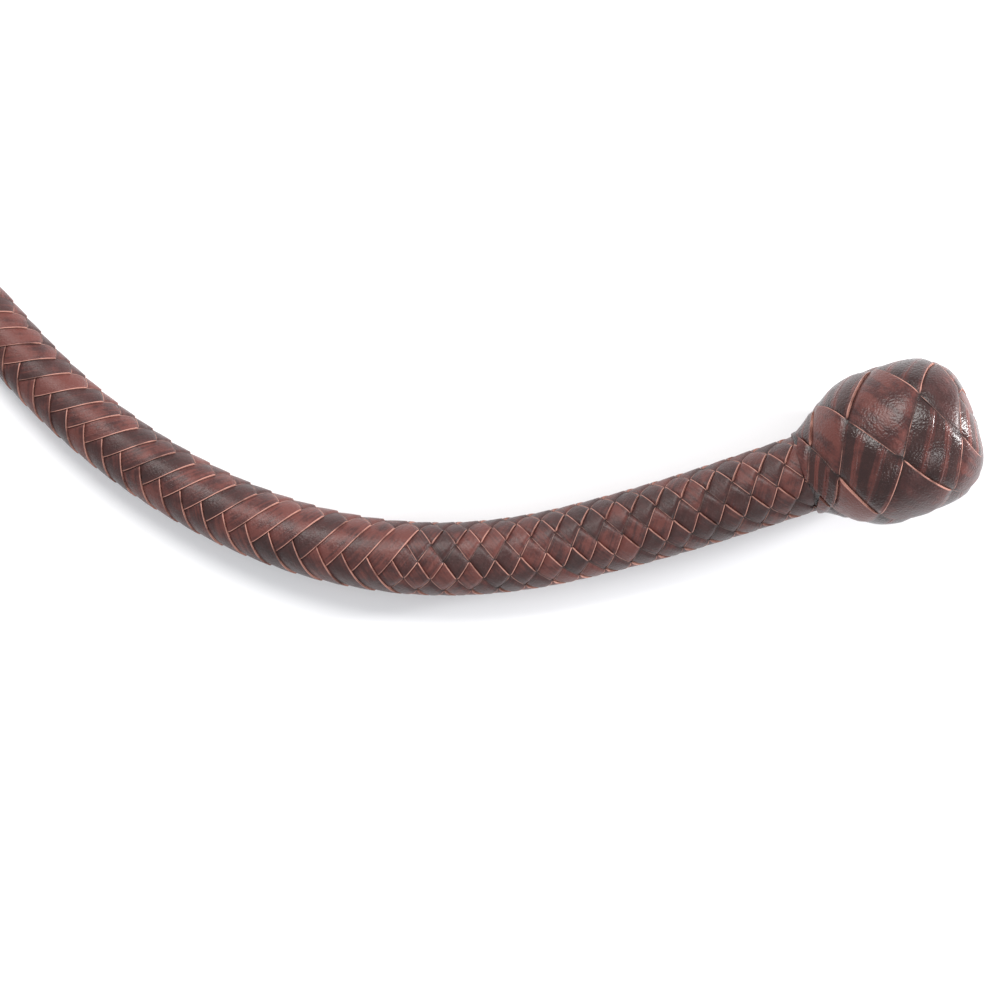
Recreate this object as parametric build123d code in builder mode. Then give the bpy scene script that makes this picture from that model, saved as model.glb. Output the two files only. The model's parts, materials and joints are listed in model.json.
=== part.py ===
"""Short shot-loaded snake whip: woven heel knob, checker-plaited handle, herringbone thong and cracker.

Frame: the origin is on the ground under the centre of the heel knob, +Z is up, and the thong runs
towards -X and ends in one neat turn. Everything is in millimetres.
The thong is limp, so it is cut at two stations into three rigid lengths. Each cut is a ball and
socket about a point of the centreline, so every layer of the thong can bend there about Z.
"""

from build123d import *
import math
import os

os.makedirs("parts", exist_ok=True)

# ---- driving dimensions ----
knob_diameter = 50.0
knob_nose = 26.0  # from the knob's centre to its far end
neck_station = 28.0  # where the handle leaves the knob, along the route from the knob's centre
neck_diameter = 27.2  # mouth of the knob's cover
cover_wall = 2.6  # woven strips, two deep
heel_station = 8.0  # where the plaited layers end inside the knob

heel_diameter = 25.0
change_station = 188.0  # the plait changes from checker to herringbone
change_diameter = 23.0
upper_station = 313.0
upper_diameter = 19.4
point_diameter = 6.0

overlay_wall = 2.1
outer_belly_wall = 2.0
bolster_wall = 1.2
inner_belly_wall = 1.8
shot_bag_wall = 1.0
least_radius = 0.6  # a layer runs out where its rod gets this thin

joint_gap = 0.3  # between the ball and the socket of a bending station
floor_gap = 0.08  # keeps every solid just off the ground
fillet_share = 0.45  # part of the shorter run that a corner's arc takes up
shortest_piece = 0.01  # a piece of the route shorter than this is left out
look_back = 0.5  # how far before a station its direction is read

binding_length = 9.0
binding_thread = 0.9
plug_length = 7.0
fit_gap = 0.1  # between the heel and the pieces that grip it

point_binding_length = 14.0
point_thread = 0.45
eye_radius = 4.0  # centreline of the leather eye at the point
eye_strand = 1.6
eye_neck = 1.4
loop_radius = 2.3  # centreline of the cracker's loop
loop_cord = 1.3
cracker_diameter = 3.0
whipping_length = 6.0
whipping_thread = 0.5
whipping_setback = 0.7  # from the cord's start to the whipping
knot_diameter = 5.0
knot_length = 4.0
tuft_length = 24.0
tuft_diameter = 5.0

# ---- route of the plaited body: plan points chosen by hand, then one turn of a closing spiral ----
plan_points = [
    (0.0, 0.0),
    (-40.0, -14.0),
    (-82.0, -27.3),
    (-122.0, -36.6),
    (-160.0, -36.6),
    (-197.0, -27.6),
    (-232.0, -9.6),
    (-262.0, 13.6),
    (-288.0, 42.6),
]
rise_shares = [1.0, 0.6, 0.16]  # how far each of the first points is lifted towards the knob's centre
turn_centre = (-380.2, 5.3)
turn_start = 37.0  # degrees, where the route joins the turn
turn_step = 23.0
turn_runs = 13
turn_radius = 96.0
turn_closing = 2.4  # the turn tightens by this much at each point

# ---- route of the cracker: headings relative to the thong's end, chosen by hand ----
cracker_runs = [13.0, 15.0, 14.0, 16.0, 15.0, 14.0, 15.0]
cracker_turns = [24.0, 22.0, 20.0, 18.0, 20.0, 18.0]


def radius_at(station):
    """Outer radius of the plaited body at a distance along its route."""
    marks = [0.0, neck_station, change_station, upper_station, route_length]
    widths = [heel_diameter, heel_diameter, change_diameter, upper_diameter, point_diameter]
    for near, far, width, next_width in zip(marks, marks[1:], widths, widths[1:]):
        if station <= far:
            return (width + (next_width - width) * (station - near) / (far - near)) / 2
    return point_diameter / 2


def fillet_radii(points):
    """Arc radii that take up a fixed share of the shorter run at each corner."""
    radii = []
    for before, here, after in zip(points, points[1:], points[2:]):
        half_turn = math.radians((here - before).get_angle(after - here)) / 2
        shorter = min((here - before).length, (after - here).length)
        radii.append(fillet_share * shorter / math.tan(half_turn))
    return radii


def smooth_route(points):
    """Edges of the straight runs and tangent arcs through the corners, in order."""
    with BuildLine() as line:
        FilletPolyline(*points, radius=fillet_radii(points))
    return line.wires()[0].order_edges()


def turn_point(index):
    """Plan position of one corner of the closing turn."""
    angle = math.radians(turn_start + turn_step * index)
    radius = turn_radius - turn_closing * index
    return (turn_centre[0] + radius * math.cos(angle), turn_centre[1] + radius * math.sin(angle))


def lifted(plan, stations):
    """Route corners one radius above the ground, higher by the knob and by the thread at the point."""
    shares = rise_shares + [0.0] * (len(plan) - len(rise_shares))
    points = []
    for point, station, share in zip(plan, stations, shares):
        rest_height = radius_at(station)
        height = rest_height + share * (knob_diameter / 2 - rest_height) + floor_gap
        points.append(Vector(point[0], point[1], height))
    for last in (-2, -1):
        points[last] += Vector(0, 0, point_thread)
    return points


def corner_stations(edges):
    """Distance along the route to its start, to the middle of each arc and to its end."""
    stations = [0.0]
    travelled = 0.0
    for edge in edges:
        if edge.geom_type == GeomType.CIRCLE:
            stations.append(travelled + edge.length / 2)
        travelled += edge.length
    return stations + [travelled]


plan = plan_points + [turn_point(index) for index in range(turn_runs + 1)]
stations = [0.0]
for here, after in zip(plan, plan[1:]):
    stations.append(stations[-1] + math.dist(here, after))
for improvement in range(2):  # the taper sets the heights, and the heights the length it is spread over
    route_length = stations[-1]
    route_points = lifted(plan, stations)
    route_edges = smooth_route(route_points)
    stations = corner_stations(route_edges)
route_length = stations[-1]


def edges_between(start, end):
    """Pieces of the route between two stations, as (edge, first station, last station)."""
    pieces = []
    station = 0.0
    for edge in route_edges:
        first = max(start, station)
        last = min(end, station + edge.length)
        if last - first > shortest_piece:
            low = (first - station) / edge.length
            high = (last - station) / edge.length
            pieces.append((edge.trim(low, high), first, last))
        station += edge.length
    return pieces


def frame_at(station):
    """Plane across the route at a station, facing along the route."""
    edge = edges_between(station - look_back, station)[-1][0]
    return Plane(origin=edge @ 1, z_dir=edge % 1)


def middle_of_run(corner):
    """Station of the middle of the straight stretch after a corner of the route."""
    straight = 2 * corner
    before = sum(edge.length for edge in route_edges[:straight])
    return before + route_edges[straight].length / 2


def run_out(inset):
    """Station where a rod that lies this far inside the surface gets too thin."""
    if point_diameter / 2 - inset >= least_radius:
        return route_length
    slope = (upper_diameter - point_diameter) / 2 / (route_length - upper_station)
    return upper_station + (upper_diameter / 2 - inset - least_radius) / slope


bend_station = middle_of_run(4)
tail_station = middle_of_run(6)


def rod(inset, start, end):
    """Tapered solid rod along the route, this far inside the plaited body's surface."""
    with BuildPart() as body:
        for edge, first, last in edges_between(start, end):
            with BuildSketch(Plane(origin=edge @ 0, z_dir=edge % 0)):
                Circle(radius_at(first) - inset)
            with BuildSketch(Plane(origin=edge @ 1, z_dir=edge % 1)):
                Circle(radius_at(last) - inset)
            if edge.geom_type == GeomType.LINE:
                loft()
            else:
                sweep(path=edge, multisection=True)
    return body.part


def ball_tip(inset, station):
    """End of a rod that runs on from a bending station inside the ball."""
    across = frame_at(station)
    ball_radius = radius_at(station)
    rod_radius = ball_radius - inset
    spread = math.degrees(math.asin(rod_radius / ball_radius))
    with BuildPart() as tip:
        with BuildSketch(Plane(origin=across.origin, x_dir=across.z_dir, z_dir=across.x_dir)):
            with BuildLine():
                rim = CenterArc((0, 0), ball_radius, 0, spread)
                if inset:
                    Line(rim @ 1, (0, rod_radius))
                Polyline((0, rod_radius), (0, 0), rim @ 0)
            make_face()
        revolve(axis=Axis(across.origin, across.z_dir))
    return tip.part


def layer_solid(outer_inset, inner_inset, start, end, socket, ball):
    """One layer of a length of the thong; inner_inset None makes it solid to the middle."""
    with BuildPart() as layer:
        add(rod(outer_inset, start, min(end, run_out(outer_inset))))
        if ball:
            add(ball_tip(outer_inset, end))
        if inner_inset is not None:
            add(rod(inner_inset, start, min(end, run_out(inner_inset))), mode=Mode.SUBTRACT)
            if ball:
                add(ball_tip(inner_inset, end), mode=Mode.SUBTRACT)
        if socket:
            with Locations(frame_at(start).origin):
                Sphere(radius_at(start) + joint_gap, mode=Mode.SUBTRACT)
    return layer


def save(builder, node):
    """Labels a finished piece and writes it."""
    builder.part.label = node
    export_step(builder.part, f"parts/{node}.step")
    print(node, "solids", len(builder.part.solids()), "volume", round(builder.part.volume))


# ---- the plaited body: six layers in three lengths ----
layers = [
    ("overlay", overlay_wall),
    ("outer_belly", outer_belly_wall),
    ("bolster", bolster_wall),
    ("inner_belly", inner_belly_wall),
    ("shot_bag", shot_bag_wall),
    ("shot", None),
]
lengths = [
    ("handle", heel_station, bend_station, False, True),
    ("thong", bend_station, tail_station, True, True),
    ("tail", tail_station, route_length, True, False),
]
for length_name, start, end, socket, ball in lengths:
    inset = 0.0
    for layer_name, wall in layers:
        inner_inset = None if wall is None else inset + wall
        layer = layer_solid(inset, inner_inset, start, end, socket, ball)
        save(layer, f"{length_name}_{layer_name}")
        inset = inner_inset

# ---- heel knob ----
knob_axis = (route_points[1] - route_points[0]).normalized()
knob_plane = Plane(origin=route_points[0], x_dir=knob_axis, z_dir=knob_axis.cross(Vector(0, 0, 1)))
shoulder_share = 0.92  # radius at the knob's shoulders, as a share of its widest
nose_edge_share = 0.83  # where the flat nose rounds over, along the axis
nose_radius_share = 0.64  # and how wide it is there
neck_slope = 1.1  # how steeply the knob falls to the handle at its mouth


def knob_profile(inset, mouth):
    """Half outline of the knob, this far inside the cover's surface, as (along the axis, radius)."""
    widest = knob_diameter / 2 - inset
    nose = knob_nose - inset
    with BuildSketch() as profile:
        with BuildLine():
            Spline(
                (-nose, 0),
                (-nose_edge_share * nose, nose_radius_share * widest),
                (-nose / 2, shoulder_share * widest),
                (0, widest),
                (mouth / 2, shoulder_share * widest),
                (mouth, neck_diameter / 2 - inset),
                tangents=[(0, 1), (1, -neck_slope)],
            )
            Polyline((mouth, neck_diameter / 2 - inset), (mouth, 0), (-nose, 0))
        make_face()
    return profile.sketch


def heel_outline(extra_radius, start, end):
    """Half outline of a straight cylinder about the handle's axis between two stations."""
    radius = heel_diameter / 2 + extra_radius
    with BuildSketch() as outline:
        with Locations(((start + end) / 2, radius / 2)):
            Rectangle(end - start, radius)
    return outline.sketch


def turned_about_handle(outline, cuts):
    """Solid of revolution about the handle's axis from a half outline less some others."""
    for cut in cuts:
        outline = outline - cut
    with BuildPart() as solid:
        with BuildSketch(knob_plane):
            add(outline)
        revolve(axis=Axis(knob_plane.origin, knob_plane.x_dir))
    return solid


binding_start = heel_station + 2.0
binding_end = binding_start + binding_length
inner_mouth = neck_station - cover_wall
bore = heel_outline(fit_gap, heel_station - plug_length - fit_gap, neck_station + cover_wall)
groove = heel_outline(binding_thread + fit_gap, binding_start - fit_gap, binding_end + fit_gap)
foundation_outline = knob_profile(cover_wall, inner_mouth)

with BuildPart() as heel_binding:
    add(turned_about_handle(heel_outline(binding_thread, binding_start, binding_end), [bore]).part)
save(heel_binding, "heel_binding")

with BuildPart() as heel_plug:
    add(turned_about_handle(heel_outline(0.0, heel_station - plug_length, heel_station), []).part)
save(heel_plug, "heel_plug")

with BuildPart() as knob_foundation:
    add(turned_about_handle(foundation_outline, [bore, groove]).part)
save(knob_foundation, "knob_foundation")

with BuildPart() as knob_cover:
    add(turned_about_handle(knob_profile(0.0, neck_station), [foundation_outline, bore]).part)
save(knob_cover, "knob_cover")

# ---- the point of the thong and its eye ----
point_end = frame_at(route_length)
forward = Vector(point_end.z_dir.X, point_end.z_dir.Y, 0).normalized()
side = Vector(-forward.Y, forward.X, 0)
up = Vector(0, 0, 1)

with BuildPart() as point_binding:
    add(rod(-point_thread, route_length - point_binding_length, route_length - fit_gap))
    add(rod(0.0, route_length - point_binding_length, route_length), mode=Mode.SUBTRACT)
save(point_binding, "point_binding")

eye_centre = point_end.origin + forward * (eye_neck + eye_radius)
with BuildPart() as point_eye:
    with BuildSketch(Plane(origin=eye_centre + side * eye_radius, x_dir=side, z_dir=forward)):
        Circle(eye_strand / 2)
    revolve(axis=Axis(eye_centre, up))
    with BuildSketch(point_end):
        Circle(eye_strand / 2)
    extrude(amount=eye_neck)
save(point_eye, "point_eye")

# ---- cracker, looped through the eye ----
swing_centre = eye_centre + forward * eye_radius
with BuildPart() as cracker_loop:
    with BuildSketch(Plane(origin=swing_centre + up * loop_radius, x_dir=up, z_dir=forward)):
        Circle(loop_cord / 2)
    revolve(axis=Axis(swing_centre, side))
save(cracker_loop, "cracker_loop")


def turned(direction, degrees):
    """A flat direction turned about +Z."""
    return direction.rotate(Axis.Z, degrees)


cord_start = swing_centre + forward * (loop_radius + loop_cord / 2)
cracker_points = [cord_start]
heading = forward
cord_height = cracker_diameter / 2 + floor_gap
knot_height = knot_diameter / 2 + floor_gap
half_way = (cord_start.Z + cord_height) / 2
heights = [half_way] + [cord_height] * (len(cracker_runs) - 3) + [knot_height] * 2
for run, turn, height in zip(cracker_runs, cracker_turns + [0.0], heights):
    here = cracker_points[-1] + heading * run
    cracker_points.append(Vector(here.X, here.Y, height))
    heading = turned(heading, turn)
cracker_edges = smooth_route(cracker_points)


def cord_along(edges, diameter):
    """Round cord of one diameter along some edges."""
    with BuildPart() as cord:
        for edge in edges:
            with BuildSketch(Plane(origin=edge @ 0, z_dir=edge % 0)):
                Circle(diameter / 2)
            sweep(path=edge)
    return cord.part


with BuildPart() as cracker_cord:
    add(cord_along(cracker_edges, cracker_diameter))
    with Locations(swing_centre):
        Sphere(loop_radius + loop_cord / 2, mode=Mode.SUBTRACT)
save(cracker_cord, "cracker_cord")

first_run = cracker_edges[0]
whipping_place = cord_start + (first_run % 0) * whipping_setback
whipping_plane = Plane(origin=whipping_place, z_dir=first_run % 0)
with BuildPart() as cracker_whipping:
    with BuildSketch(whipping_plane):
        Circle(cracker_diameter / 2 + whipping_thread)
        Circle(cracker_diameter / 2, mode=Mode.SUBTRACT)
    extrude(amount=whipping_length)
save(cracker_whipping, "cracker_whipping")

cord_end = Plane(origin=cracker_edges[-1] @ 1, z_dir=cracker_edges[-1] % 1)
with BuildPart() as cracker_knot:
    with BuildSketch(cord_end.offset(-knot_length)):
        Circle(knot_diameter / 2)
        Circle(cracker_diameter / 2, mode=Mode.SUBTRACT)
    extrude(amount=knot_length - fit_gap)
save(cracker_knot, "cracker_knot")

with BuildPart() as cracker_tuft:
    with BuildSketch(cord_end):
        Circle(cracker_diameter / 2)
    with BuildSketch(cord_end.offset(tuft_length)):
        Circle(tuft_diameter / 2)
    loft()
save(cracker_tuft, "cracker_tuft")

# ---- sizes for the record ----
print("arc radii:", [round(radius) for radius in fillet_radii(route_points)])
print("cracker's arc radii:", [round(radius) for radius in fillet_radii(cracker_points)])
print("route length", round(route_length, 1), "plaited from the neck", round(route_length - neck_station, 1))
print("cracker length", round(sum(edge.length for edge in cracker_edges) + tuft_length, 1))


def tell(place, origin, direction):
    """Prints a station's place and direction."""
    print("station", place, *[round(value, 4) for value in [*origin, *direction]])


for place, station in [("neck", neck_station), ("bend", bend_station), ("tail", tail_station)]:
    tell(place, frame_at(station).origin, frame_at(station).z_dir)
tell("swing", swing_centre, forward)
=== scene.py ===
# %% [markdown]
# # A short plaited snake whip
# The whip is a limp, shot-loaded body under a twelve-strand leather plait. A woven ball finishes the
# heel, the handle is plaited in checker, the thong in herringbone, and a cracker hangs from the point.
# This lesson starts from the working frame, whose solids set every place and size, and dresses it in
# leather made strand by strand.

# %% Load the frame
import bpy
import bmesh
import json
import math
import random
import numpy as np
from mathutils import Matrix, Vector

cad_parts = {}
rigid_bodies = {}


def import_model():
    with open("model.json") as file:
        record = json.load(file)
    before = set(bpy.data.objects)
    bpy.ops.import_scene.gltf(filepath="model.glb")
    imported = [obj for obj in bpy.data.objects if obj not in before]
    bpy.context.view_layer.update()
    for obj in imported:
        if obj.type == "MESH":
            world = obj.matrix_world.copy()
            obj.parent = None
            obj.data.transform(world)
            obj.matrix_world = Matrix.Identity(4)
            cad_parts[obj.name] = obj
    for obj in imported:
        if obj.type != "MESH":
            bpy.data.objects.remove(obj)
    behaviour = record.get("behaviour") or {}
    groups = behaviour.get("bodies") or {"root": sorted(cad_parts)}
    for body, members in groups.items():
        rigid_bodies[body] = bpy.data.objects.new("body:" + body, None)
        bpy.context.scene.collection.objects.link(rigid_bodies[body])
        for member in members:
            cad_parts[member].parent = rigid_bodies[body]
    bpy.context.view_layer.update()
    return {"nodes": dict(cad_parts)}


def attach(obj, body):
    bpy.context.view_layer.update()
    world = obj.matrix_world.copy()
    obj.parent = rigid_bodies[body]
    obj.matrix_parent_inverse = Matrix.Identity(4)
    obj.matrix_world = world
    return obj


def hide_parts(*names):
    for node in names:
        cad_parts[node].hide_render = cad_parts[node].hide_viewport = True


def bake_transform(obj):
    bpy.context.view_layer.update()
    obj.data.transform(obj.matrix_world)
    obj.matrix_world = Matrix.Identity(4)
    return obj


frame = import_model()

# %% [markdown]
# ## The line that the whip follows
# A limp whip lies in long easy curves, and everything on it follows one centreline. The line could be
# drawn through many points, but then every small error of theirs would show as a kink. A few listed
# corners are enough here, because a spline bends smoothly past them. The closing turn gets its
# corners from a loop, each a little nearer its centre. Every corner lies one radius above the ground,
# and the first ones rise to the middle of the knob.

# %% Sizes of the plaited body, in metres
# A station is a distance along the line from the middle of the knob.
knob_radius = 0.025
neck_station = 0.028
heel_radius = 0.0125
change_station, change_radius = 0.188, 0.0115
upper_station, upper_radius = 0.313, 0.0097
point_radius = 0.003
point_thread = 0.00045
floor_gap = 0.00008
run_to_line = 0.985  # length of the smooth line as a share of the straight runs between its corners

plan_points = [
    (0.0, 0.0),
    (-0.040, -0.014),
    (-0.082, -0.0273),
    (-0.122, -0.0366),
    (-0.160, -0.0366),
    (-0.197, -0.0276),
    (-0.232, -0.0096),
    (-0.262, 0.0136),
    (-0.288, 0.0426),
]
rise_shares = [1.0, 0.6, 0.16]
turn_centre = (-0.3802, 0.0053)
turn_start, turn_step, turn_runs = 37.0, 23.0, 13
turn_radius, turn_closing = 0.096, 0.0024

for index in range(turn_runs + 1):
    angle = math.radians(turn_start + turn_step * index)
    radius = turn_radius - turn_closing * index
    across_turn, up_turn = radius * math.cos(angle), radius * math.sin(angle)
    plan_points.append((turn_centre[0] + across_turn, turn_centre[1] + up_turn))


def radius_at(station, whole):
    """Outer radius of the plait at a distance along its line."""
    marks = [0.0, neck_station, change_station, upper_station, whole]
    sizes = [heel_radius, heel_radius, change_radius, upper_radius, point_radius]
    return np.interp(station, marks, sizes)


corner_distance = [0.0]
for here, after in zip(plan_points, plan_points[1:]):
    corner_distance.append(corner_distance[-1] + math.dist(here, after))
corners = []
for index, (x, y) in enumerate(plan_points):
    rest = float(radius_at(corner_distance[index] * run_to_line, corner_distance[-1] * run_to_line))
    share = rise_shares[index] if index < len(rise_shares) else 0.0
    thread = point_thread if index >= len(plan_points) - 2 else 0.0
    corners.append((x, y, rest + share * (knob_radius - rest) + floor_gap + thread))
print("corners of the line:", len(corners))

# %% [markdown]
# ## From corners to a line with a direction
# A curve object can carry a bevel, but twelve strands need to know where they are and which way is up.
# So Blender works out the NURBS spline once, as a plain row of vertices, and a small class keeps its
# stations, directions and upright frames. Order three keeps the line close to its corners. It is set
# after the points are added, because before that Blender lowers it to two, which is straight runs.


# %% Turn the corners into a smooth line
def smooth_line(points, steps=40):
    """Points along the NURBS spline whose control polygon is given."""
    curve = bpy.data.curves.new("line", "CURVE")
    curve.dimensions = "3D"
    curve.resolution_u = steps  # vertices between two corners
    spline = curve.splines.new("NURBS")
    spline.points.add(len(points) - 1)
    for corner, point in zip(spline.points, points):
        corner.co = (*point, 1.0)
    spline.order_u = 3
    spline.use_endpoint_u = True
    holder = bpy.data.objects.new("line", curve)
    bpy.context.scene.collection.objects.link(holder)
    bpy.context.view_layer.update()
    mesh = bpy.data.meshes.new_from_object(holder.evaluated_get(bpy.context.evaluated_depsgraph_get()))
    line = np.array([vertex.co for vertex in mesh.vertices])
    bpy.data.meshes.remove(mesh)
    bpy.data.objects.remove(holder)
    bpy.data.curves.remove(curve)
    return line


class Centreline:
    """A line with a station, a direction and an upright frame at every point."""

    def __init__(self, points):
        self.points = points
        runs = np.linalg.norm(np.diff(points, axis=0), axis=1)
        self.stations = np.concatenate([[0.0], np.cumsum(runs)])
        self.length = float(self.stations[-1])
        forward = np.gradient(points, self.stations, axis=0)
        self.forward = forward / np.linalg.norm(forward, axis=1)[:, None]
        side = np.cross([0.0, 0.0, 1.0], self.forward)
        self.side = side / np.linalg.norm(side, axis=1)[:, None]
        self.up = np.cross(self.forward, self.side)

    def at(self, values, station):
        """Values kept at the line's points, read at any stations."""
        return np.stack([np.interp(station, self.stations, values[:, axis]) for axis in range(3)], axis=-1)

    def place(self, station, angle, radius):
        """Points at a radius from the line; the angle goes from the top towards the line's left side."""
        outward = np.cos(angle)[:, None] * self.at(self.up, station)
        outward = outward + np.sin(angle)[:, None] * self.at(self.side, station)
        return self.at(self.points, station) + radius[:, None] * outward

    def part(self, start, end):
        """Points of a stretch of the line, ends included."""
        inside = (self.stations > start) & (self.stations < end)
        ends = self.at(self.points, np.array([start, end]))
        return [list(map(float, point)) for point in [ends[0], *self.points[inside], ends[1]]]


body_line = Centreline(smooth_line(corners))
print("length of the line: %.1f mm" % (body_line.length * 1000))

# %% [markdown]
# ## Leather
# The real strands are cut from one waxed hide, so one recipe makes all its finishes. The colour wanders
# from chocolate to red-brown from patch to patch, the cut edges show the pale middle of the hide, and
# painted shade darkens a strand where it dives under its neighbour and along its sunk edge. A texture
# laid over the whole whip would ignore the strands, so each strand carries four attributes that the
# nodes read: across, from -1 to 1 between its edges, along, its station, tone, a random depth of colour
# for each patch, and cover, which is 1 where it lies on top and -1 where it is under. A fine pebble and
# shallow folds come from bump.


# %% Small helpers for node materials
def new_material(name):
    """A material with its nodes, links and main shader."""
    material = bpy.data.materials.new(name)
    material.use_nodes = True
    nodes = material.node_tree.nodes
    shader = nodes["Principled BSDF"]
    return material, nodes, material.node_tree.links, shader


def ramp(nodes, links, source, stops):
    """Colour ramp fed by a socket."""
    node = nodes.new("ShaderNodeValToRGB")
    while len(node.color_ramp.elements) < len(stops):
        node.color_ramp.elements.new(0.5)
    for element, (position, colour) in zip(node.color_ramp.elements, stops):
        element.position = position
        element.color = (*colour, 1.0)
    links.new(source, node.inputs["Fac"])
    return node.outputs["Color"]


def noise(nodes, links, vector, scale, detail=4.0, roughness=0.55):
    """Cloudy values from 0 to 1; a higher scale makes smaller clouds."""
    node = nodes.new("ShaderNodeTexNoise")
    node.inputs["Scale"].default_value = scale
    node.inputs["Detail"].default_value = detail
    node.inputs["Roughness"].default_value = roughness
    links.new(vector, node.inputs["Vector"])
    return node.outputs["Fac"]


def maths(nodes, links, operation, first, second=None):
    """One sum on sockets or numbers."""
    node = nodes.new("ShaderNodeMath")
    node.operation = operation
    for socket, value in zip(node.inputs, (first, second)):
        if value is None:
            continue
        if isinstance(value, (int, float)):
            socket.default_value = value
        else:
            links.new(value, socket)
    return node.outputs["Value"]


def mapped(nodes, links, value, low, high, to_low=0.0, to_high=1.0):
    """A smooth step that turns low to high into to_low to to_high."""
    node = nodes.new("ShaderNodeMapRange")
    node.interpolation_type = "SMOOTHSTEP"
    for name, number in zip(("From Min", "From Max", "To Min", "To Max"), (low, high, to_low, to_high)):
        node.inputs[name].default_value = number
    links.new(value, node.inputs["Value"])
    return node.outputs["Result"]


def mixed(nodes, links, factor, first, second):
    """Two colours mixed by a factor."""
    node = nodes.new("ShaderNodeMix")
    node.data_type = "RGBA"
    for socket, value in ((node.inputs[0], factor), (node.inputs[6], first), (node.inputs[7], second)):
        if isinstance(value, tuple):
            socket.default_value = (*value, 1.0)
        elif isinstance(value, (int, float)):
            socket.default_value = value
        else:
            links.new(value, socket)
    return node.outputs[2]


def attribute(nodes, name):
    """A value that the mesh carries at its vertices."""
    node = nodes.new("ShaderNodeAttribute")
    node.attribute_name = name
    return node.outputs["Fac"]


def bumped(nodes, links, height, strength, distance):
    """A normal that is tilted by a height, which is distance metres deep."""
    node = nodes.new("ShaderNodeBump")
    node.inputs["Strength"].default_value = strength
    node.inputs["Distance"].default_value = distance
    links.new(height, node.inputs["Height"])
    return node.outputs["Normal"]


# %% The strand leather
DARK_HIDE = (0.021, 0.0092, 0.0086)
BROWN_HIDE = (0.044, 0.0138, 0.0127)
RED_HIDE = (0.100, 0.0285, 0.0230)
RAW_EDGE = (0.41, 0.20, 0.160)
# near-black colour of the painted shade where a strand dives under its neighbour and along its sunk edge
PAINTED_SHADE = (0.009, 0.006, 0.006)


def strand_leather(
    name, edge_start=0.915, stripes=0, pebble_scale=1500.0, gloss=0.0, wrinkles=1.0, pebble_depth=0.6
):
    """Waxed hide; edge_start is where the cut edge begins across the strand, stripes are creased bands,
    and wrinkles and pebble_depth say how deep the folds and the pebble are."""
    material, nodes, links, shader = new_material(name)

    def add(first, second):
        return maths(nodes, links, "ADD", first, second)

    def times(first, second):
        return maths(nodes, links, "MULTIPLY", first, second)

    # colour: fine streaks along the strand, mottling and broad blotches over a shade for each patch
    coordinates = nodes.new("ShaderNodeTexCoord").outputs["Object"]
    across, along, tone, cover = (attribute(nodes, key) for key in ("across", "along", "tone", "cover"))
    strip = nodes.new("ShaderNodeCombineXYZ")
    links.new(times(along, 60.0), strip.inputs[0])
    links.new(times(across, 2.2), strip.inputs[1])
    links.new(times(tone, 37.0), strip.inputs[2])
    streak = noise(nodes, links, strip.outputs[0], 1.6, 5.0)
    mottle = noise(nodes, links, coordinates, 170.0, 6.0, 0.66)
    blotch = noise(nodes, links, coordinates, 55.0, 3.0, 0.5)
    shade = add(times(tone, 0.36), add(times(mottle, 0.62), add(times(streak, 0.46), times(blotch, 0.36))))
    hide = ramp(nodes, links, shade, [(0.58, DARK_HIDE), (0.86, BROWN_HIDE), (1.0, RED_HIDE)])
    ridge = None
    if stripes:  # dark bands with a rubbed ridge between them
        place = add(times(across, 0.5), 0.5)
        place = add(place, times(maths(nodes, links, "SUBTRACT", streak, 0.5), 0.10))
        phase = maths(nodes, links, "FRACT", times(place, float(stripes)))
        from_middle = maths(nodes, links, "ABSOLUTE", maths(nodes, links, "SUBTRACT", phase, 0.5))
        band = mapped(nodes, links, from_middle, 0.34, 0.24)
        hide = mixed(nodes, links, times(band, 0.82), hide, DARK_HIDE)
        ridge = mapped(nodes, links, from_middle, 0.42, 0.49)
        hide = mixed(nodes, links, times(ridge, 0.55), hide, RED_HIDE)
    # painted shade where the strand is under another, and along its lower edge that is tucked under its
    # neighbour
    painted_under_shade = mapped(nodes, links, cover, 0.72, -0.25)
    hide = mixed(nodes, links, times(painted_under_shade, 0.85), hide, PAINTED_SHADE)
    shadowed = mapped(nodes, links, across, -0.72, -1.0)
    hide = mixed(nodes, links, times(shadowed, 0.55), hide, PAINTED_SHADE)
    # the cut edges, pale where they are rubbed
    rubbed = noise(nodes, links, coordinates, 130.0, 4.0)
    worn = mapped(nodes, links, rubbed, 0.30, 0.58, 0.2, 1.0)
    edge_full = edge_start + 0.45 * (1.0 - edge_start)
    raised = times(mapped(nodes, links, across, edge_start, edge_full), worn)
    lower_worn = mapped(nodes, links, add(rubbed, times(tone, 0.25)), 0.50, 0.72, 0.1, 0.75)
    lowered = times(mapped(nodes, links, across, -edge_start, -edge_full), lower_worn)
    edge = times(maths(nodes, links, "MAXIMUM", raised, lowered), mapped(nodes, links, cover, -0.1, 0.6))
    hide = mixed(nodes, links, edge, hide, RAW_EDGE)
    links.new(hide, shader.inputs["Base Color"])
    # pebble and folds
    pebble = nodes.new("ShaderNodeTexVoronoi")
    pebble.feature = "SMOOTH_F1"
    pebble.inputs["Scale"].default_value = pebble_scale
    links.new(coordinates, pebble.inputs["Vector"])
    crease = noise(nodes, links, strip.outputs[0], 9.0, 6.0, 0.6)
    folds = times(add(crease, times(mottle, 1.4)), wrinkles)
    height = add(times(pebble.outputs["Distance"], -pebble_depth), folds)
    if stripes:
        height = add(height, times(ridge, 1.5))
    links.new(bumped(nodes, links, height, 0.5, 0.00028), shader.inputs["Normal"])
    # shine
    rough = mapped(nodes, links, add(mottle, times(edge, 0.4)), 0.35, 0.85, 0.32 - gloss, 0.56 - gloss)
    links.new(rough, shader.inputs["Roughness"])
    shader.inputs["Specular IOR Level"].default_value = 0.30
    shader.inputs["Coat Weight"].default_value = 0.05
    shader.inputs["Coat Roughness"].default_value = 0.22
    return material


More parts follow.
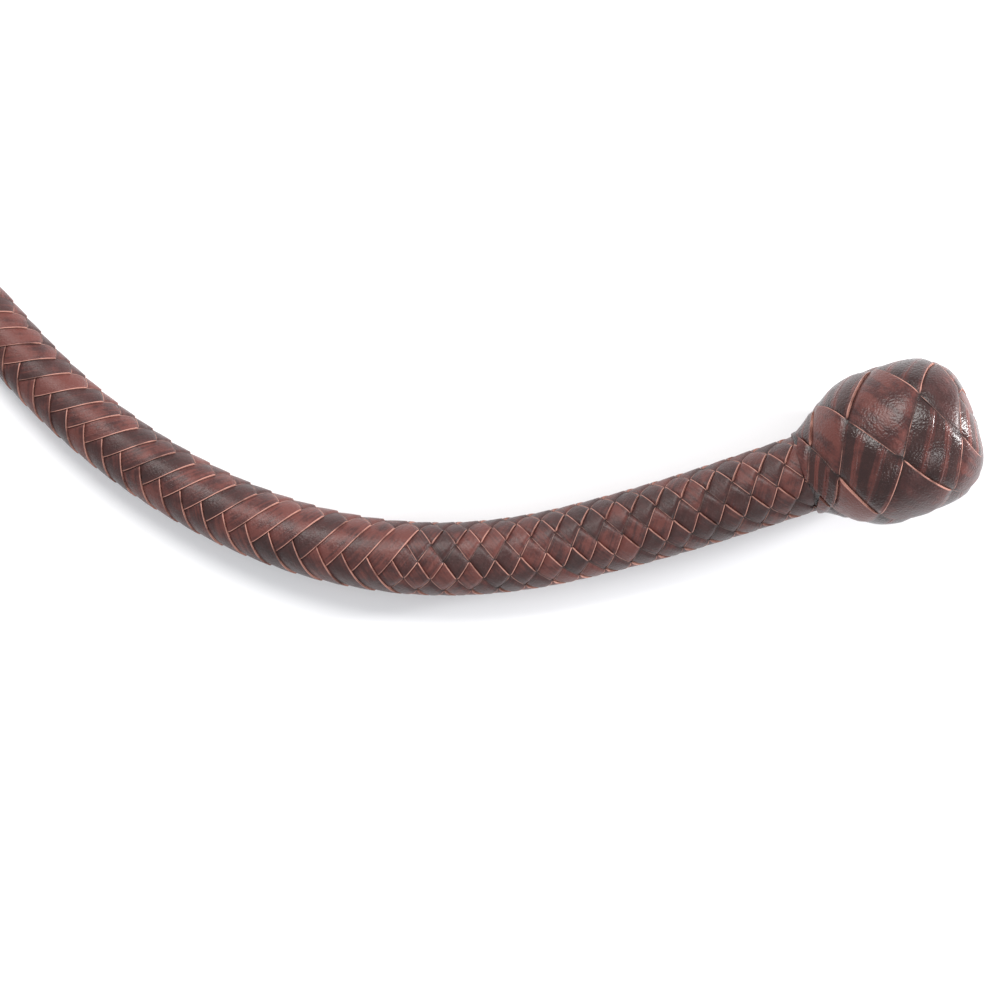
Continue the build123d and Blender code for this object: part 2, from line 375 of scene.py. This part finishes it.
plait_leather = strand_leather("plait_leather")
ball_edge, ball_pebble, ball_wrinkles = 0.965, 1550.0, 0.4
striped_leather = strand_leather("striped_leather", ball_edge, 3, ball_pebble, 0.09, ball_wrinkles, 1.15)
plain_leather = strand_leather("plain_leather", ball_edge, 0, ball_pebble, 0.01, ball_wrinkles, 1.0)
print("strand leathers:", plait_leather.name, striped_leather.name, plain_leather.name)

# %% [markdown]
# ## Plaiting the strands
# On the real whip six strands wind one way and six the other, and each dives under some of those it
# meets. A bump map of a plait would look flat at the outline, and separate scales would have no strand
# to follow, so every strand is made whole. Unroll the body: a strand of the first set keeps
# u = angle - twist, one of the second keeps v = angle + twist, and twist grows along the body. They
# cross on a lattice, and a rule says which lies on top at each crossing. Each strand starts as a flat
# grid whose vertices are bent on to the surface, and a solidify gives the hide its thickness.

# %% The weave shared by the body and the ball
class Weave:
    """Strands that wind both ways over a surface, with the rule for which lies on top."""

    def __init__(self, each_way, first_angle, stations, twists, on_top, place, size, hide, drop):
        self.each_way = each_way
        self.step = 2 * math.pi / each_way
        self.first_angle = first_angle
        self.low, self.high = stations[0], stations[-1]
        margin = 0.03  # the tables run on this far, so that a strand can be cut off past an end
        before = twists[0] - margin * (twists[1] - twists[0]) / (stations[1] - stations[0])
        after = twists[-1] + margin * (twists[-1] - twists[-2]) / (stations[-1] - stations[-2])
        self.stations = np.array([self.low - margin, *stations, self.high + margin])
        self.twists = np.array([before, *twists, after])
        self.first_set_on_top = on_top
        self.place = place
        self.size = size
        self.hide = hide
        self.drop = drop

    def twist_at(self, station):
        return np.interp(station, self.stations, self.twists)

    def station_at(self, twist):
        return np.interp(twist, self.twists, self.stations)

    def sign(self, first_set, strand, crossing):
        """1 where this strand is on top at a crossing, and -1 where it is under."""
        if first_set:
            return 1 if self.first_set_on_top(self, strand, crossing) else -1
        return -1 if self.first_set_on_top(self, -crossing, strand) else 1

    def crossing_at(self, first_set, strand, station):
        """How many crossings a strand has passed at a station, as a number with a fraction."""
        origin = strand if first_set else -strand
        return origin + 2 * float(self.twist_at(station)) / self.step

    def hidden_crossing(self, first_set, strand, station):
        """The crossing nearest a station where this strand lies under, so that pieces meet unseen."""
        middle = self.crossing_at(first_set, strand, station)
        around = range(int(middle) - 4, int(middle) + 6)
        hidden = [c for c in around if self.sign(first_set, strand, c) < 0]
        signs = {c: self.sign(first_set, strand, c) for c in range(around[0] - 1, around[-1] + 2)}
        deep = [c for c in hidden if signs[c - 1] + signs[c + 1] < 0]
        return min(deep or hidden, key=lambda c: abs(c - middle))

    def tone(self, first_set, strand, crossing, seed):
        """Shade of the visible patch that a crossing belongs to."""
        sign = self.sign(first_set, strand, crossing)
        first = crossing
        for _ in range(3):
            if self.sign(first_set, strand, first - 1) != sign:
                break
            first -= 1
        draw = random.Random(seed + 7919 * strand + 104729 * first + (1 if first_set else 500000))
        return draw.betavariate(2.0, 2.2)


strand_attributes = ("across", "along", "tone", "cover")
edge_crowding = 0.8  # below 1, the grid's lines crowd towards the strand's edges
dive_start, dive_run = 0.33, 0.34  # where between two crossings a strand changes level
lift_share = 0.32  # how far one edge is raised and the other sunk, in thicknesses of the hide
crown_share = 0.16  # how far both edges drop below the strand's middle


def lay_strand(bm, layers, weave, first_set, strand, low, high, steps, across_steps, seed, spread=1.03):
    """Bends one flat grid on to the surface as a strand, from crossing to crossing."""
    count = max(2, int(round((high - low) * steps)))
    verts = bmesh.ops.create_grid(bm, x_segments=count, y_segments=across_steps, size=0.5)["verts"]
    flat = np.array([vert.co for vert in verts])
    along = low + (flat[:, 0] + 0.5) * (high - low)
    width = np.sign(flat[:, 1]) * np.abs(2 * flat[:, 1]) ** edge_crowding
    crossings = range(int(math.floor(low)) - 1, int(math.ceil(high)) + 2)
    signs = {c: weave.sign(first_set, strand, c) for c in crossings}
    tones = {c: weave.tone(first_set, strand, c, seed) for c in crossings}
    near = np.floor(along).astype(int)
    share = along - near
    blend = np.clip((share - dive_start) / dive_run, 0, 1)
    blend = blend * blend * (3 - 2 * blend)
    here = np.array([signs[c] for c in near])
    after = np.array([signs[c + 1] for c in near])
    cover = here + (after - here) * blend
    tone = np.where(share < 0.5, [tones[c] for c in near], [tones[c + 1] for c in near])
    if first_set:
        u = (strand + width * spread / 2) * weave.step
        v = along * weave.step
    else:
        u = -along * weave.step
        v = (strand + width * spread / 2) * weave.step
    angle = (u + v) / 2 + weave.first_angle
    wanted = weave.station_at((v - u) / 2)
    station = np.clip(wanted, weave.low, weave.high)
    raised = width if first_set else -width
    size, scale = weave.size(station)
    hide = weave.hide * scale
    lift = lift_share * hide
    crown = crown_share * hide * width**2
    sunk = (1 - cover) / 2 * hide * weave.drop
    height = size - lift - sunk + lift * raised * (0.5 + cover / 2) - crown
    places = weave.place(station, angle, height)
    for vert, place, *values in zip(verts, places, raised, station, tone, cover):
        vert.co = place
        for key, value in zip(strand_attributes, values):
            vert[layers[key]] = value
    cut_off = {vert for vert, want, got in zip(verts, wanted, station) if want != got}
    faces = {face for vert in cut_off for face in vert.link_faces}
    gone = [face for face in faces if all(vert in cut_off for vert in face.verts)]
    bmesh.ops.delete(bm, geom=gone, context="FACES")


def new_layers(bm):
    """The attributes that the leather reads, as layers of a bmesh."""
    return {key: bm.verts.layers.float.new(key) for key in strand_attributes}


def finish_mesh(name, bm, material, sharp_angle=40.0):
    """Turns a bmesh into an object with smooth faces, sharp rims and one material."""
    bmesh.ops.recalc_face_normals(bm, faces=bm.faces[:])
    mesh = bpy.data.meshes.new(name)
    bm.to_mesh(mesh)
    bm.free()
    piece = bpy.data.objects.new(name, mesh)
    bpy.context.scene.collection.objects.link(piece)
    mesh.shade_smooth()
    mesh.set_sharp_from_angle(angle=math.radians(sharp_angle))
    mesh.materials.append(material)
    print(name, "faces:", len(mesh.polygons))
    return piece


# %% [markdown]
# ## Checker and herringbone
# The handle's strands go over one and under one, which makes a checker of diamonds. Further on they go
# over three and under three in four columns, which makes the long arrows of a herringbone with a seam
# between the columns. Both patterns share one lattice, so the rule alone changes between them, as a
# plaiter's hands do. The strands lie steep on the thick part and shallower towards the point. The twist
# is the slope of the strands summed along the line.

# %% The lattice of the body's plait
seam_angle = math.radians(20.0)
pattern_change = 0.160
steep, shallow = math.radians(56.7), math.radians(40.0)

point_station = body_line.length
table_stations = np.linspace(0.0, point_station, 1500)
lay_angle = np.interp(table_stations, [0.0, upper_station, point_station], [steep, steep, shallow])
twist_rate = np.tan(lay_angle) / radius_at(table_stations, point_station)
twist_steps = (twist_rate[1:] + twist_rate[:-1]) / 2 * np.diff(table_stations)
table_twists = np.concatenate([[0.0], np.cumsum(twist_steps)])
print("turns of a strand round the body: %.1f" % (table_twists[-1] / (2 * math.pi)))


def body_rule(weave, i, j):
    """Checker on the handle; on the thong each set is on top in two of the four columns."""
    angle = (i + j) * weave.step / 2 + weave.first_angle
    station = float(weave.station_at((j - i) * weave.step / 2))
    if station < pattern_change:
        return (i + j) % 2 == 0
    return (angle - seam_angle) % math.pi > math.pi / 2


def body_size(station):
    """The surface's radius, and how much thinner the hide is there than at the heel."""
    size = radius_at(station, point_station)
    return size, size / heel_radius


body_weave = Weave(
    each_way=6,
    first_angle=math.radians(5.0),
    stations=table_stations,
    twists=table_twists,
    on_top=body_rule,
    place=body_line.place,
    size=body_size,
    hide=0.0010,
    drop=1.25,
)

# %% [markdown]
# ## Five stretches of plait
# One mesh of all twelve strands would be heavy, and a stretch can turn at one joint only, so the plait
# is made in five meshes. A straight cut would show as a ring round the whip. Instead each strand ends
# at a crossing where another strand covers it, so one stretch takes over from the next out of sight.


# %% The five stretches of the plait
def plait(name, start, end, steps, across_steps, open_start=False, open_end=False, seed=11):
    """Twelve strands of a stretch of the plait as one mesh; ends that meet the next piece are hidden."""
    bm = bmesh.new()
    layers = new_layers(bm)
    for first_set in (True, False):
        for strand in range(body_weave.each_way):
            ends = []
            for station, is_open in ((start, open_start), (end, open_end)):
                find = body_weave.crossing_at if is_open else body_weave.hidden_crossing
                ends.append(find(first_set, strand, station))
            lay_strand(bm, layers, body_weave, first_set, strand, *ends, steps, across_steps, seed)
    thickness = body_weave.hide * float(radius_at((start + end) / 2, point_station)) / heel_radius
    bmesh.ops.solidify(bm, geom=bm.faces[:], thickness=thickness)
    return finish_mesh(name, bm, plait_leather)


plait_from, thong_from, bend_from, turn_from, tip_from = 0.012, 0.150, 0.2235, 0.345, 0.545
end_gap = 0.0004
handle_plait = plait("handle_plait", plait_from, thong_from, 9, 8, open_start=True)
thong_plait = plait("thong_plait", thong_from, bend_from, 9, 8)
bend_plait = plait("bend_plait", bend_from, turn_from, 8, 8)
turn_plait = plait("turn_plait", turn_from, tip_from, 6, 6)
tip_plait = plait("tip_plait", tip_from, point_station - end_gap, 5, 5, open_end=True)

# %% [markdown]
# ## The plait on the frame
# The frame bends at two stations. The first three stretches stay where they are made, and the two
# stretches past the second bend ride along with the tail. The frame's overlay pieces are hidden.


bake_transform(handle_plait)
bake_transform(thong_plait)
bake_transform(bend_plait)
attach(turn_plait, "tail")
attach(tip_plait, "tail")
for piece, node in (
    (handle_plait, "handle_overlay"),
    (thong_plait, "thong_overlay"),
    (bend_plait, "tail_overlay"),
    (turn_plait, "tail_overlay"),
    (tip_plait, "tail_overlay"),
):
    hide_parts(node)

# %% [markdown]
# ## The heel knob
# The ball is built over the heel and covered with four broad strips each way. They wind from the neck
# to the nose and cross over one and under one, so each patch is a lozenge. A sphere with a texture
# would miss the ball's blunt nose and drawn-in neck. A few corners beside its axis give its true
# outline as a spline, and turning that outline round the axis gives the surface the strips lie on.

# %% Shape of the ball
neck_line = body_line.part(0.0, 0.002)
ball_centre = np.array(neck_line[0])
ball_axis = np.array(neck_line[-1]) - ball_centre
ball_axis = ball_axis / np.linalg.norm(ball_axis)
ball_side = np.cross([0.0, 0.0, 1.0], ball_axis)
ball_side = ball_side / np.linalg.norm(ball_side)
ball_up = np.cross(ball_axis, ball_side)

ball_outline = smooth_line(  # along the axis, then out from it
    [
        (-0.0259, 0.0, 0.0),
        (-0.0259, 0.0090, 0.0),
        (-0.0233, 0.0180, 0.0),
        (-0.0150, 0.0236, 0.0),
        (-0.0020, 0.0253, 0.0),
        (0.0120, 0.0242, 0.0),
        (0.0200, 0.0198, 0.0),
        (0.0262, 0.0146, 0.0),
        (0.0310, 0.0136, 0.0),
    ]
)
outline_run = np.concatenate([[0.0], np.cumsum(np.linalg.norm(np.diff(ball_outline, axis=0), axis=1))])
outline_slope = np.gradient(ball_outline, outline_run, axis=0)
nose_runs = [0.0012, 0.0060]  # the first rows, as distances over the surface from the nose
row_places = [-0.0238, -0.0200, -0.0118, -0.0003, 0.0123, 0.0206, 0.0258, 0.0300]  # along the axis
row_runs = nose_runs + [float(np.interp(x, ball_outline[:, 0], outline_run)) for x in row_places]
middle_row = 5
row_twists = [math.radians(45.0) * (index - middle_row) for index in range(len(row_runs))]
print("rows of the ball's weave, mm:", [round(run * 1000, 1) for run in row_runs])


def on_ball(run, angle, height):
    """Points of the ball at a run from its nose, an angle about its axis and a height off its surface."""
    slope_x, slope_r = (np.interp(run, outline_run, outline_slope[:, axis]) for axis in (0, 1))
    length = np.hypot(slope_x, slope_r)
    x = np.interp(run, outline_run, ball_outline[:, 0]) - height * slope_r / length
    r = np.interp(run, outline_run, ball_outline[:, 1]) + height * slope_x / length
    r = np.clip(r, 0.0001, None)
    outward = np.cos(angle)[:, None] * ball_up + np.sin(angle)[:, None] * ball_side
    return ball_centre + x[:, None] * ball_axis + r[:, None] * outward


def ball_rule(weave, i, j):
    """Over one and under one."""
    return (i + j) % 2 == 1


def ball_size(run):
    """The strips thin out towards the nose, where all eight draw together."""
    return np.zeros_like(run), np.interp(run, [0.0, 0.012, 0.030], [0.5, 0.8, 1.0])


ball_weave = Weave(
    each_way=4,
    first_angle=math.radians(58.0),
    stations=row_runs,
    twists=row_twists,
    on_top=ball_rule,
    place=on_ball,
    size=ball_size,
    hide=0.0013,
    drop=1.05,
)

# %% [markdown]
# ## The ball's strips
# One set of strips is creased into dark and red stripes and the other is plain, so each set is a mesh
# with its own leather. It is the same weave as the body's on another surface, so the same strand maker
# bends the grids. The strips need more lines across than the body's, because they are broad and round.


# %% Cover the ball
def ball_strips(name, first_set, material, seed):
    """Four strips of one set as one mesh."""
    bm = bmesh.new()
    layers = new_layers(bm)
    for strand in range(ball_weave.each_way):
        ends = [ball_weave.crossing_at(first_set, strand, run) for run in (row_runs[0], row_runs[-1])]
        lay_strand(bm, layers, ball_weave, first_set, strand, *ends, 14, 26, seed, spread=1.02)
    bmesh.ops.solidify(bm, geom=bm.faces[:], thickness=ball_weave.hide)
    return finish_mesh(name, bm, material)


knob_striped_strips = ball_strips("knob_striped_strips", True, striped_leather, 3)
knob_plain_strips = ball_strips("knob_plain_strips", False, plain_leather, 5)
for piece in (knob_striped_strips, knob_plain_strips):
    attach(piece, "handle")
    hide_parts("knob_cover")

# %% [markdown]
# ## The point and the cracker
# The plait is bound off with waxed thread, and a leather eye stands out of its point. The cracker is a
# twisted cord that loops through the eye, is whipped behind the loop, and ends in a knot and a tuft of
# loose fibres. Threads, cord strands and fibres are all round tubes that follow a line, so one helper
# bends a grid round for each of them and merges the seam. A wound thread runs nearly across its line,
# so the tube is set square to the way the thread goes, not to the line that it winds round.


# %% Round tubes along a line
nudge = 0.00001  # a step along the line, small beside any winding


def steady(value):
    """The same value at every station."""
    return lambda station: np.full_like(station, value)


def winding(pitch, start_angle=0.0):
    """One turn for every pitch of the line."""
    return lambda station: start_angle + 2 * math.pi * station / pitch


def tube(bm, line, start, end, steps, around, radius, offset=steady(0.0), turn=steady(0.0)):
    """A tube beside a line; its radius, its offset and its turn about the line follow the station."""
    verts = bmesh.ops.create_grid(bm, x_segments=steps, y_segments=around, size=0.5)["verts"]
    flat = np.array([vert.co for vert in verts])
    station = start + (flat[:, 0] + 0.5) * (end - start)
    around_angle = flat[:, 1] * 2 * math.pi
    lean = turn(station)
    up, side = line.at(line.up, station), line.at(line.side, station)
    outward = np.cos(lean)[:, None] * up + np.sin(lean)[:, None] * side
    round_line = np.cos(lean)[:, None] * side - np.sin(lean)[:, None] * up
    turn_rate = (turn(station + nudge) - turn(station - nudge)) / (2 * nudge)
    ahead = line.at(line.forward, station) + (offset(station) * turn_rate)[:, None] * round_line
    beside = np.cross(ahead / np.linalg.norm(ahead, axis=1)[:, None], outward)
    centre = line.at(line.points, station) + offset(station)[:, None] * outward
    rim = np.cos(around_angle)[:, None] * outward + np.sin(around_angle)[:, None] * beside
    places = centre + radius(station)[:, None] * rim
    for vert, place in zip(verts, places):
        vert.co = place
    bmesh.ops.remove_doubles(bm, verts=verts, dist=1e-7)


def close_ends(bm):
    """Caps every open end of the tubes."""
    rims = [edge for edge in bm.edges if edge.is_boundary]
    bmesh.ops.holes_fill(bm, edges=rims, sides=64)


# %% [markdown]
# ## Thread and cord
# The bindings are waxed thread and the cracker is a softer fibre. Their twist is real shape here, so
# the material only adds what is finer: fuzz that lightens and darkens the fibres, a slight bump, and
# some sheen. The eye's leather is as plain, so the same recipe serves it at a larger scale.


# %% Thread and cord materials
def thread_material(name, dark, light, scale):
    """Fibres from dark to light; a higher scale makes finer ones."""
    material, nodes, links, shader = new_material(name)
    coordinates = nodes.new("ShaderNodeTexCoord").outputs["Object"]
    fine = noise(nodes, links, coordinates, scale, 6.0, 0.7)
    links.new(ramp(nodes, links, fine, [(0.3, dark), (0.75, light)]), shader.inputs["Base Color"])
    links.new(bumped(nodes, links, fine, 0.5, 0.0001), shader.inputs["Normal"])
    shader.inputs["Roughness"].default_value = 0.6
    shader.inputs["Sheen Weight"].default_value = 0.2
    return material


waxed_thread = thread_material("waxed_thread", (0.026, 0.015, 0.011), (0.095, 0.052, 0.038), 2600.0)
eye_leather = thread_material("eye_leather", (0.020, 0.0088, 0.0080), (0.062, 0.021, 0.016), 900.0)
cracker_fibre = thread_material("cracker_fibre", (0.035, 0.018, 0.013), (0.115, 0.058, 0.040), 3200.0)

# %% Bind the point
binding_length, binding_gap = 0.014, 0.0001
thread_radius = 0.00024
thread_pitch = 2.05 * thread_radius  # each turn just clears the one before
bm = bmesh.new()
tube(
    bm,
    body_line,
    point_station - binding_length,
    point_station - binding_gap,
    steps=760,
    around=8,
    radius=steady(thread_radius),
    offset=lambda station: radius_at(station, point_station) + thread_radius * 0.8,
    turn=winding(thread_pitch),
)
close_ends(bm)
point_wrap = finish_mesh("point_wrap", bm, waxed_thread)
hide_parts("point_binding")

# %% [markdown]
# ## The eye
# The last strands are drawn in and worked into a small round eye that lies flat, and the cracker's loop
# hangs in it upright, as two links of a chain do. Both are rings, so a circle becomes a line and the
# same helper makes the tube. A short stem that narrows closes the end of the plait behind the eye.

# %% The eye and where the cracker hangs
point_end = body_line.points[-1]
flat_forward = np.array([body_line.forward[-1][0], body_line.forward[-1][1], 0.0])
flat_forward = flat_forward / np.linalg.norm(flat_forward)
flat_side = np.cross([0.0, 0.0, 1.0], flat_forward)
upward = np.array([0.0, 0.0, 1.0])
eye_radius, eye_strand, eye_neck = 0.004, 0.0016, 0.0014
loop_radius, loop_cord = 0.0023, 0.0013
eye_centre = point_end + flat_forward * (eye_neck + eye_radius)
swing_centre = eye_centre + flat_forward * eye_radius


def ring_line(centre, first, second, radius):
    """A circle as a line, from the direction first towards second."""
    angle = np.linspace(0, 2 * math.pi, 96)[:, None]
    return Centreline(centre + radius * (np.cos(angle) * first + np.sin(angle) * second))


bm = bmesh.new()
eye_ring = ring_line(eye_centre, -flat_forward, flat_side, eye_radius)
tube(bm, eye_ring, 0.0, eye_ring.length, steps=72, around=14, radius=steady(eye_strand / 2))
stem_reach = (-0.002, 0.0, eye_neck * 1.3)  # from inside the binding to inside the eye's ring
stem = Centreline(np.array([point_end + flat_forward * reach for reach in stem_reach]))


def stem_radius(station):
    """The last strands draw in from the binding to the eye's neck."""
    shares, sizes = [0.0, 0.55, 0.8, 1.0], [0.00285, 0.0028, 0.0018, 0.00095]
    return np.interp(station, np.array(shares) * stem.length, sizes)


tube(bm, stem, 0.0, stem.length, steps=20, around=28, radius=stem_radius)
close_ends(bm)
eye_loop = finish_mesh("eye_loop", bm, eye_leather)
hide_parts("point_eye")

# %% [markdown]
# ## The cracker
# The cracker is three strands of fibre laid up as a cord. It lies inside the turn of the thong, on its
# own spline with listed runs and turns. Each strand is a tube set off from that line by half the
# cord's radius and wound round it, which gives the lay of a real cord. The loop is laid up the same way.

# %% The cracker's line
cracker_radius = 0.0015
cracker_runs = [0.013, 0.015, 0.014, 0.016, 0.015, 0.014, 0.015]
cracker_turns = [24.0, 22.0, 20.0, 18.0, 20.0, 18.0]
cord_start = swing_centre + flat_forward * (loop_radius + loop_cord / 2)
knot_length, knot_radius = 0.004, 0.0025
cord_height = cracker_radius + floor_gap
knot_height = knot_radius + floor_gap
flat_corners = [cord_height] * (len(cracker_runs) - 3)
cord_heights = [(cord_start[2] + cord_height) / 2, *flat_corners, knot_height, knot_height]
cord_corners = [cord_start]
heading = math.atan2(flat_forward[1], flat_forward[0])
for run, turn, height in zip(cracker_runs, [*cracker_turns, 0.0], cord_heights):
    x = cord_corners[-1][0] + run * math.cos(heading)
    y = cord_corners[-1][1] + run * math.sin(heading)
    cord_corners.append(np.array([x, y, height]))
    heading += math.radians(turn)
cracker_line = Centreline(smooth_line(cord_corners))
print("cracker's cord: %.1f mm" % (cracker_line.length * 1000))

# %% Twist the cracker's cord and its loop
def laid_cord(name, line, strands, steps, offset, pitch, radius):
    """A cord of equal strands wound round a line."""
    bm = bmesh.new()
    for strand in range(strands):
        turn = winding(pitch, 2 * math.pi * strand / strands)
        tube(bm, line, 0.0, line.length, steps, 10, steady(radius), steady(offset), turn)
    close_ends(bm)
    return finish_mesh(name, bm, cracker_fibre)


cracker_strands = laid_cord(
    "cracker_strands", cracker_line, 3, 260, cracker_radius * 0.50, 0.0105, cracker_radius * 0.52
)
loop_ring = ring_line(swing_centre, flat_forward, upward, loop_radius)
cracker_bight = laid_cord(
    "cracker_bight", loop_ring, 2, 90, loop_cord * 0.24, loop_ring.length / 4, loop_cord * 0.27
)

# %% [markdown]
# ## Whipping, knot and tuft
# Thread holds the loop's throat, wound as the binding at the point is. The knot is two thick strands
# wound steeply over the cord's end, fuller in its middle, and past it the fibres spread, sag and lie on
# the ground. The fibres differ in length and bend by seeded draws, so that each run gives the same tuft.

# %% Whip and knot the cracker
whipping_from, whipping_to = 0.0008, 0.0068
whipping_radius = 0.00022
bm = bmesh.new()
tube(
    bm,
    cracker_line,
    whipping_from,
    whipping_to,
    steps=340,
    around=8,
    radius=steady(whipping_radius),
    offset=steady(cracker_radius + 0.00018),
    turn=winding(2 * whipping_radius),
)
close_ends(bm)
cracker_wrap = finish_mesh("cracker_wrap", bm, waxed_thread)

knot_start = cracker_line.length - knot_length
knot_gap = 0.0002


def knot_offset(station):
    """The knot's strands stand out most at its middle."""
    return 0.0016 - 0.0005 * np.abs(2 * (station - knot_start) / knot_length - 1) ** 2


bm = bmesh.new()
knot_ends = (knot_start + knot_gap, cracker_line.length - knot_gap)
for lean in (0.0, math.pi):
    tube(bm, cracker_line, *knot_ends, 110, 10, steady(0.00082), knot_offset, winding(0.0034, lean))
close_ends(bm)
end_knot = finish_mesh("end_knot", bm, cracker_fibre)

# %% Fray its end
tuft_length = 0.024
fibre_count, fibre_radius = 64, 0.00017
lowest_fibre = 0.00022  # height of a fibre's middle where it lies on the ground
draw = random.Random(29)
end_forward = cracker_line.forward[-1]
end_side = cracker_line.side[-1]
end_up = cracker_line.up[-1]
bm = bmesh.new()
for fibre in range(fibre_count):
    spread, lean = draw.uniform(0.0, 1.0) ** 0.6, draw.uniform(0, 2 * math.pi)
    reach = tuft_length * draw.uniform(0.72, 1.0)
    sway = draw.uniform(-0.0012, 0.0012)
    share = np.linspace(0, 1, 12)[:, None]
    out_side = spread * math.cos(lean) * (0.0007 + 0.0026 * share**1.5) + sway * np.sin(share * 5.0)
    out_up = spread * math.sin(lean) * (0.0007 + 0.0010 * share)
    path = cracker_line.points[-1] + share * reach * end_forward + out_side * end_side + out_up * end_up
    path[:, 2] = np.maximum(path[:, 2] - 0.0012 * share[:, 0] ** 2, lowest_fibre)
    fibre_line = Centreline(path)
    length = fibre_line.length
    tube(bm, fibre_line, 0.0, length, 11, 5, lambda station: fibre_radius * (1 - 0.6 * station / length))
close_ends(bm)
end_tuft = finish_mesh("end_tuft", bm, cracker_fibre)

# %% Hang the pieces on their bodies
for piece, node, slot in (
    (cracker_strands, "cracker_cord", "cracker_thread"),
    (cracker_bight, "cracker_loop", "cracker_thread"),
    (cracker_wrap, "cracker_whipping", "waxed_thread"),
    (end_knot, "cracker_knot", "cracker_thread"),
    (end_tuft, "cracker_tuft", "cracker_thread"),
):
    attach(piece, "cracker")
    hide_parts(node)
for piece in (point_wrap, eye_loop):
    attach(piece, "tail")

# %% [markdown]
# ## Inside the thong
# The bellies, the bolster, the bag and its lead shot, the heel's plug and the ball's core are hidden by
# the plait, but they are real pieces of the frame and their shapes are right. They could stay grey,
# since nobody sees them, but then they would look wrong when the plait is lifted off. So each gets a
# plain grained finish by what it is called: noise for the colour, and the same noise as a slight bump.


# %% Finishes of the hidden layers
def grain_material(name, dark, light, scale, roughness, metal=0.0):
    """A plain finish that goes from dark to light with its grain."""
    material, nodes, links, shader = new_material(name)
    coordinates = nodes.new("ShaderNodeTexCoord").outputs["Object"]
    grain = noise(nodes, links, coordinates, scale, 6.0, 0.6)
    links.new(ramp(nodes, links, grain, [(0.3, dark), (0.7, light)]), shader.inputs["Base Color"])
    links.new(bumped(nodes, links, grain, 0.3, 0.0002), shader.inputs["Normal"])
    shader.inputs["Roughness"].default_value = roughness
    shader.inputs["Metallic"].default_value = metal
    return material


hidden_finishes = {
    "belly": grain_material("belly_leather", (0.022, 0.012, 0.010), (0.050, 0.024, 0.019), 700.0, 0.75),
    "bolster": grain_material("bolster_leather", (0.060, 0.034, 0.022), (0.115, 0.066, 0.042), 600.0, 0.8),
    "bag": grain_material("bag_leather", (0.150, 0.110, 0.075), (0.240, 0.180, 0.125), 500.0, 0.85),
    "shot": grain_material("lead_shot", (0.090, 0.092, 0.098), (0.170, 0.172, 0.180), 900.0, 0.45, 0.9),
    "foundation": grain_material("turned_wood", (0.180, 0.105, 0.055), (0.330, 0.205, 0.115), 260.0, 0.7),
    "plug": grain_material("plug_wood", (0.180, 0.105, 0.055), (0.330, 0.205, 0.115), 260.0, 0.7),
    "binding": waxed_thread,
}
finished = 0
for name, node in frame["nodes"].items():
    for word, material in hidden_finishes.items():
        if word in name:
            finished += 1
            for slot in node.material_slots:
                slot.material = material
print("hidden pieces finished:", finished)

# %% [markdown]
# ## What lies free
# Past the bend the thong is a limp leather rope, and the cracker is a cord. The strands of a stretch
# reach back a little under the one before, to their hidden ends.

# %% [markdown]
# ## Floor, light and camera
# The whip lies on a plain white sheet and is seen from straight above. One large soft lamp stands past
# the far side, so the shadow falls softly on the near side. A small lamp overhead adds a sheen to the
# handle, and a low one at the side picks out the pebble of the knob. The standard view transform keeps
# the sheet white, where the default one would turn it grey.

# %% The ground and the room's light
bm = bmesh.new()
bmesh.ops.create_grid(bm, x_segments=1, y_segments=1, size=3.0)
sheet_mesh = bpy.data.meshes.new("ground_sheet")
bm.to_mesh(sheet_mesh)
bm.free()
ground_sheet = bpy.data.objects.new("ground_sheet", sheet_mesh)
bpy.context.scene.collection.objects.link(ground_sheet)
paper, nodes, links, shader = new_material("white_paper")
shader.inputs["Base Color"].default_value = (0.85, 0.85, 0.865, 1.0)
shader.inputs["Roughness"].default_value = 0.9
sheet_mesh.materials.append(paper)

world = bpy.data.worlds.new("soft_room")
world.use_nodes = True
world.node_tree.nodes["Background"].inputs["Color"].default_value = (0.96, 0.98, 1.0, 1.0)
world.node_tree.nodes["Background"].inputs["Strength"].default_value = 0.78
bpy.context.scene.world = world
bpy.context.scene.view_settings.view_transform = "Standard"

# %% Three lamps
view_centre = Vector((-0.1232, -0.018, 0.0))


def soft_lamp(name, place, size, power, colour=(1.0, 1.0, 1.0)):
    """A round lamp at a place beside the middle of the view, which it faces."""
    light = bpy.data.lights.new(name, "AREA")
    light.shape = "DISK"
    light.size = size
    light.energy = power
    light.color = colour
    lamp = bpy.data.objects.new(name, light)
    lamp.location = view_centre + Vector(place)
    lamp.rotation_mode = "QUATERNION"
    lamp.rotation_quaternion = (view_centre - lamp.location).to_track_quat("-Z", "Y")
    bpy.context.scene.collection.objects.link(lamp)


soft_lamp("window", (-0.25, 1.0, 1.3), 0.8, 25.0, (1.0, 0.985, 0.96))
soft_lamp("gloss_lamp", (0.50, -0.55, 0.95), 0.30, 3.5)
soft_lamp("side_lamp", (1.1, 0.22, 0.28), 0.18, 20.0)

# %% The camera
camera_height = 1.0
view_width, view_level = 0.316, 0.0115  # the view is this wide at the height of the handle's middle
camera_data = bpy.data.cameras.new("camera")
camera_data.sensor_width = 36.0
camera_data.lens = camera_data.sensor_width * (camera_height - view_level) / view_width
camera_data.clip_start = 0.05
camera = bpy.data.objects.new("camera", camera_data)
camera.location = view_centre + Vector((0, 0, camera_height))
bpy.context.scene.collection.objects.link(camera)
bpy.context.scene.camera = camera
print("focal length: %.1f mm" % camera_data.lens)
